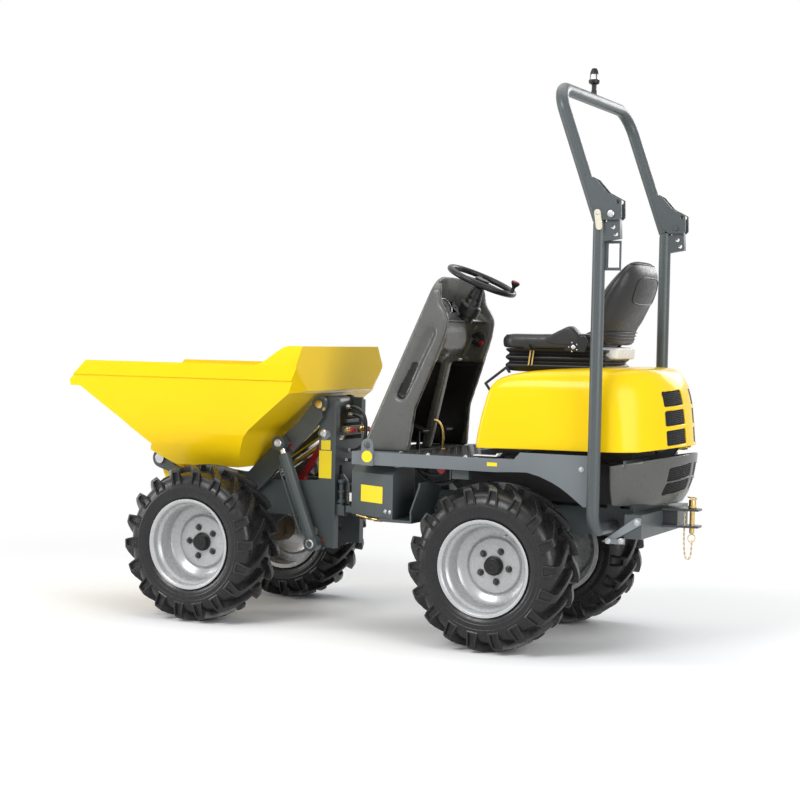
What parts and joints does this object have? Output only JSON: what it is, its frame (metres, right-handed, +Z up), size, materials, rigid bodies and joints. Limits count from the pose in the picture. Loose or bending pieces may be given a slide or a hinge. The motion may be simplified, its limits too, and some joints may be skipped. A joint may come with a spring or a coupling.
{
  "type": "articulated site dumper",
  "caption": "Articulated site dumper with a high-tip front skip on a lift arm, open operator's seat, fold-down roll hoop and lug tyres.",
  "frame": {"origin": "on the ground, midway between the pouring lip and the hitch's end, in the middle of the track", "axes": "+X forward towards the skip's lip, +Y to the left, +Z up"},
  "size_m": [3.042, 1.152, 2.5482],
  "materials": {
    "yellow_paint": "gloss",
    "grey_paint": "satin",
    "dark_plastic": "matte",
    "black_plastic": "matte",
    "mesh_black": "matte",
    "tyre_rubber": "matte",
    "rim_silver": "satin",
    "chrome_rod": "polished",
    "steel_pin": "satin",
    "brass_pin": "satin",
    "axle_bronze": "satin",
    "seat_vinyl": "satin",
    "lamp_clear": "gloss",
    "engine_grey": "matte"
  },
  "bodies": {
    "rear_chassis": {"rear_frame": "grey_paint", "deck": "grey_paint", "side_boxes": "grey_paint", "steps": "grey_paint", "console": "dark_plastic", "steering_column": "black_plastic", "pedals": "black_plastic", "engine_block": "engine_grey", "rear_axle": "axle_bronze", "rear_cover": "dark_plastic", "rear_grilles": "mesh_black", "roll_posts": "grey_paint", "tow_hitch": "grey_paint", "hitch_pin": "brass_pin", "steer_barrel": "grey_paint"},
    "steering_wheel": {"steering_wheel": "black_plastic", "spinner_knob": "black_plastic"},
    "roll_hoop": {"roll_hoop": "grey_paint", "beacon": "lamp_clear"},
    "hood": {"hood": "yellow_paint", "hood_louvers": "mesh_black", "hood_handle": "black_plastic", "seat_base": "black_plastic", "seat_cushion": "seat_vinyl", "seat_back": "seat_vinyl"},
    "wheel_rear_left": {"tyre_rear_left": "tyre_rubber", "rim_rear_left": "rim_silver"},
    "wheel_rear_right": {"tyre_rear_right": "tyre_rubber", "rim_rear_right": "rim_silver"},
    "wheel_front_left": {"tyre_front_left": "tyre_rubber", "rim_front_left": "rim_silver"},
    "wheel_front_right": {"tyre_front_right": "tyre_rubber", "rim_front_right": "rim_silver"},
    "knuckle": {"knuckle": "grey_paint"},
    "steer_rod": {"steer_rod": "chrome_rod"},
    "front_chassis": {"front_frame": "grey_paint", "front_axle": "axle_bronze", "lift_barrels": "grey_paint"},
    "lift_arm": {"lift_arm": "grey_paint"},
    "lift_rods": {"lift_rods": "chrome_rod"},
    "skip_shaft": {"skip_shaft": "steel_pin"},
    "skip": {"skip": "yellow_paint", "skip_lugs": "yellow_paint"},
    "tip_pin": {"tip_pin": "steel_pin"},
    "tip_rod": {"tip_rod": "chrome_rod"},
    "tip_barrel": {"tip_barrel": "grey_paint"}
  },
  "joints": [
    {"name": "wheel_rear_left_turn", "type": "hinge", "parent": "rear_chassis", "child": "wheel_rear_left", "pos_m": [-0.742, 0.441, 0.364], "axis": [0, 1, 0], "continuous": true},
    {"name": "wheel_rear_right_turn", "type": "hinge", "parent": "rear_chassis", "child": "wheel_rear_right", "pos_m": [-0.742, -0.441, 0.364], "axis": [0, 1, 0], "continuous": true},
    {"name": "wheel_front_left_turn", "type": "hinge", "parent": "front_chassis", "child": "wheel_front_left", "pos_m": [0.738, 0.441, 0.364], "axis": [0, 1, 0], "continuous": true},
    {"name": "wheel_front_right_turn", "type": "hinge", "parent": "front_chassis", "child": "wheel_front_right", "pos_m": [0.738, -0.441, 0.364], "axis": [0, 1, 0], "continuous": true},
    {"name": "steering_wheel_turn", "type": "hinge", "parent": "rear_chassis", "child": "steering_wheel", "pos_m": [-0.469, 0, 1.605], "axis": [-0.4003, 0, 0.9164], "continuous": true},
    {"name": "hood_open", "type": "hinge", "parent": "rear_chassis", "child": "hood", "pos_m": [-1.442, 0, 0.89], "axis": [0, -1, 0], "range_deg": [0, 50]},
    {"name": "roll_hoop_fold", "type": "hinge", "parent": "rear_chassis", "child": "roll_hoop", "pos_m": [-1.25, 0, 1.866], "axis": [0, 1, 0], "range_deg": [-178, 0]},
    {"name": "steer", "type": "hinge", "parent": "rear_chassis", "child": "knuckle", "pos_m": [0.108, 0, 0.58], "axis": [0, 0, 1], "range_deg": [-32, 32]},
    {"name": "sway", "type": "hinge", "parent": "knuckle", "child": "front_chassis", "pos_m": [0.158, 0, 0.58], "axis": [1, 0, 0], "range_deg": [-10, 10]},
    {"name": "lift", "type": "hinge", "parent": "front_chassis", "child": "lift_arm", "pos_m": [0.282, 0, 1.016], "axis": [0, -1, 0], "range_deg": [0, 40]},
    {"name": "skip_level", "type": "hinge", "parent": "lift_arm", "child": "skip_shaft", "pos_m": [1.168, 0, 0.72], "axis": [0, -1, 0], "range_deg": [-9.27, 0]},
    {"name": "tip", "type": "hinge", "parent": "skip_shaft", "child": "skip", "pos_m": [1.168, 0, 0.72], "axis": [0, 1, 0], "range_deg": [0, 90]},
    {"name": "lift_rod_slide", "type": "slide", "parent": "front_chassis", "child": "lift_rods", "axis": [0.3638, 0, 0.9315], "range_m": [0, 0.1807]},
    {"name": "tip_pin_turn", "type": "hinge", "parent": "front_chassis", "child": "tip_pin", "pos_m": [0.271, 0, 0.879], "axis": [0, -1, 0], "range_deg": [0, 40.71]},
    {"name": "tip_rod_swing", "type": "hinge", "parent": "tip_pin", "child": "tip_rod", "pos_m": [0.271, 0, 0.879], "axis": [0, -1, 0], "range_deg": [0, 32.73]},
    {"name": "tip_barrel_slide", "type": "slide", "parent": "tip_rod", "child": "tip_barrel", "axis": [-0.8331, 0, 0.5532], "range_m": [0, 0.2855]},
    {"name": "steer_rod_slide", "type": "slide", "parent": "rear_chassis", "child": "steer_rod", "axis": [-1, 0, 0], "range_m": [-0.0743, 0.0743]}
  ],
  "couplings": [
    {"joint": "skip_level", "follows": "lift", "ratio": -0.2316},
    {"joint": "lift_rod_slide", "follows": "lift", "m_per_rad": 0.25867},
    {"joint": "tip_pin_turn", "follows": "lift", "ratio": 1.0175},
    {"joint": "tip_rod_swing", "follows": "tip", "ratio": 0.3635},
    {"joint": "tip_barrel_slide", "follows": "tip", "m_per_rad": 0.18172},
    {"joint": "steer_rod_slide", "follows": "steer", "m_per_rad": 0.13283}
  ]
}
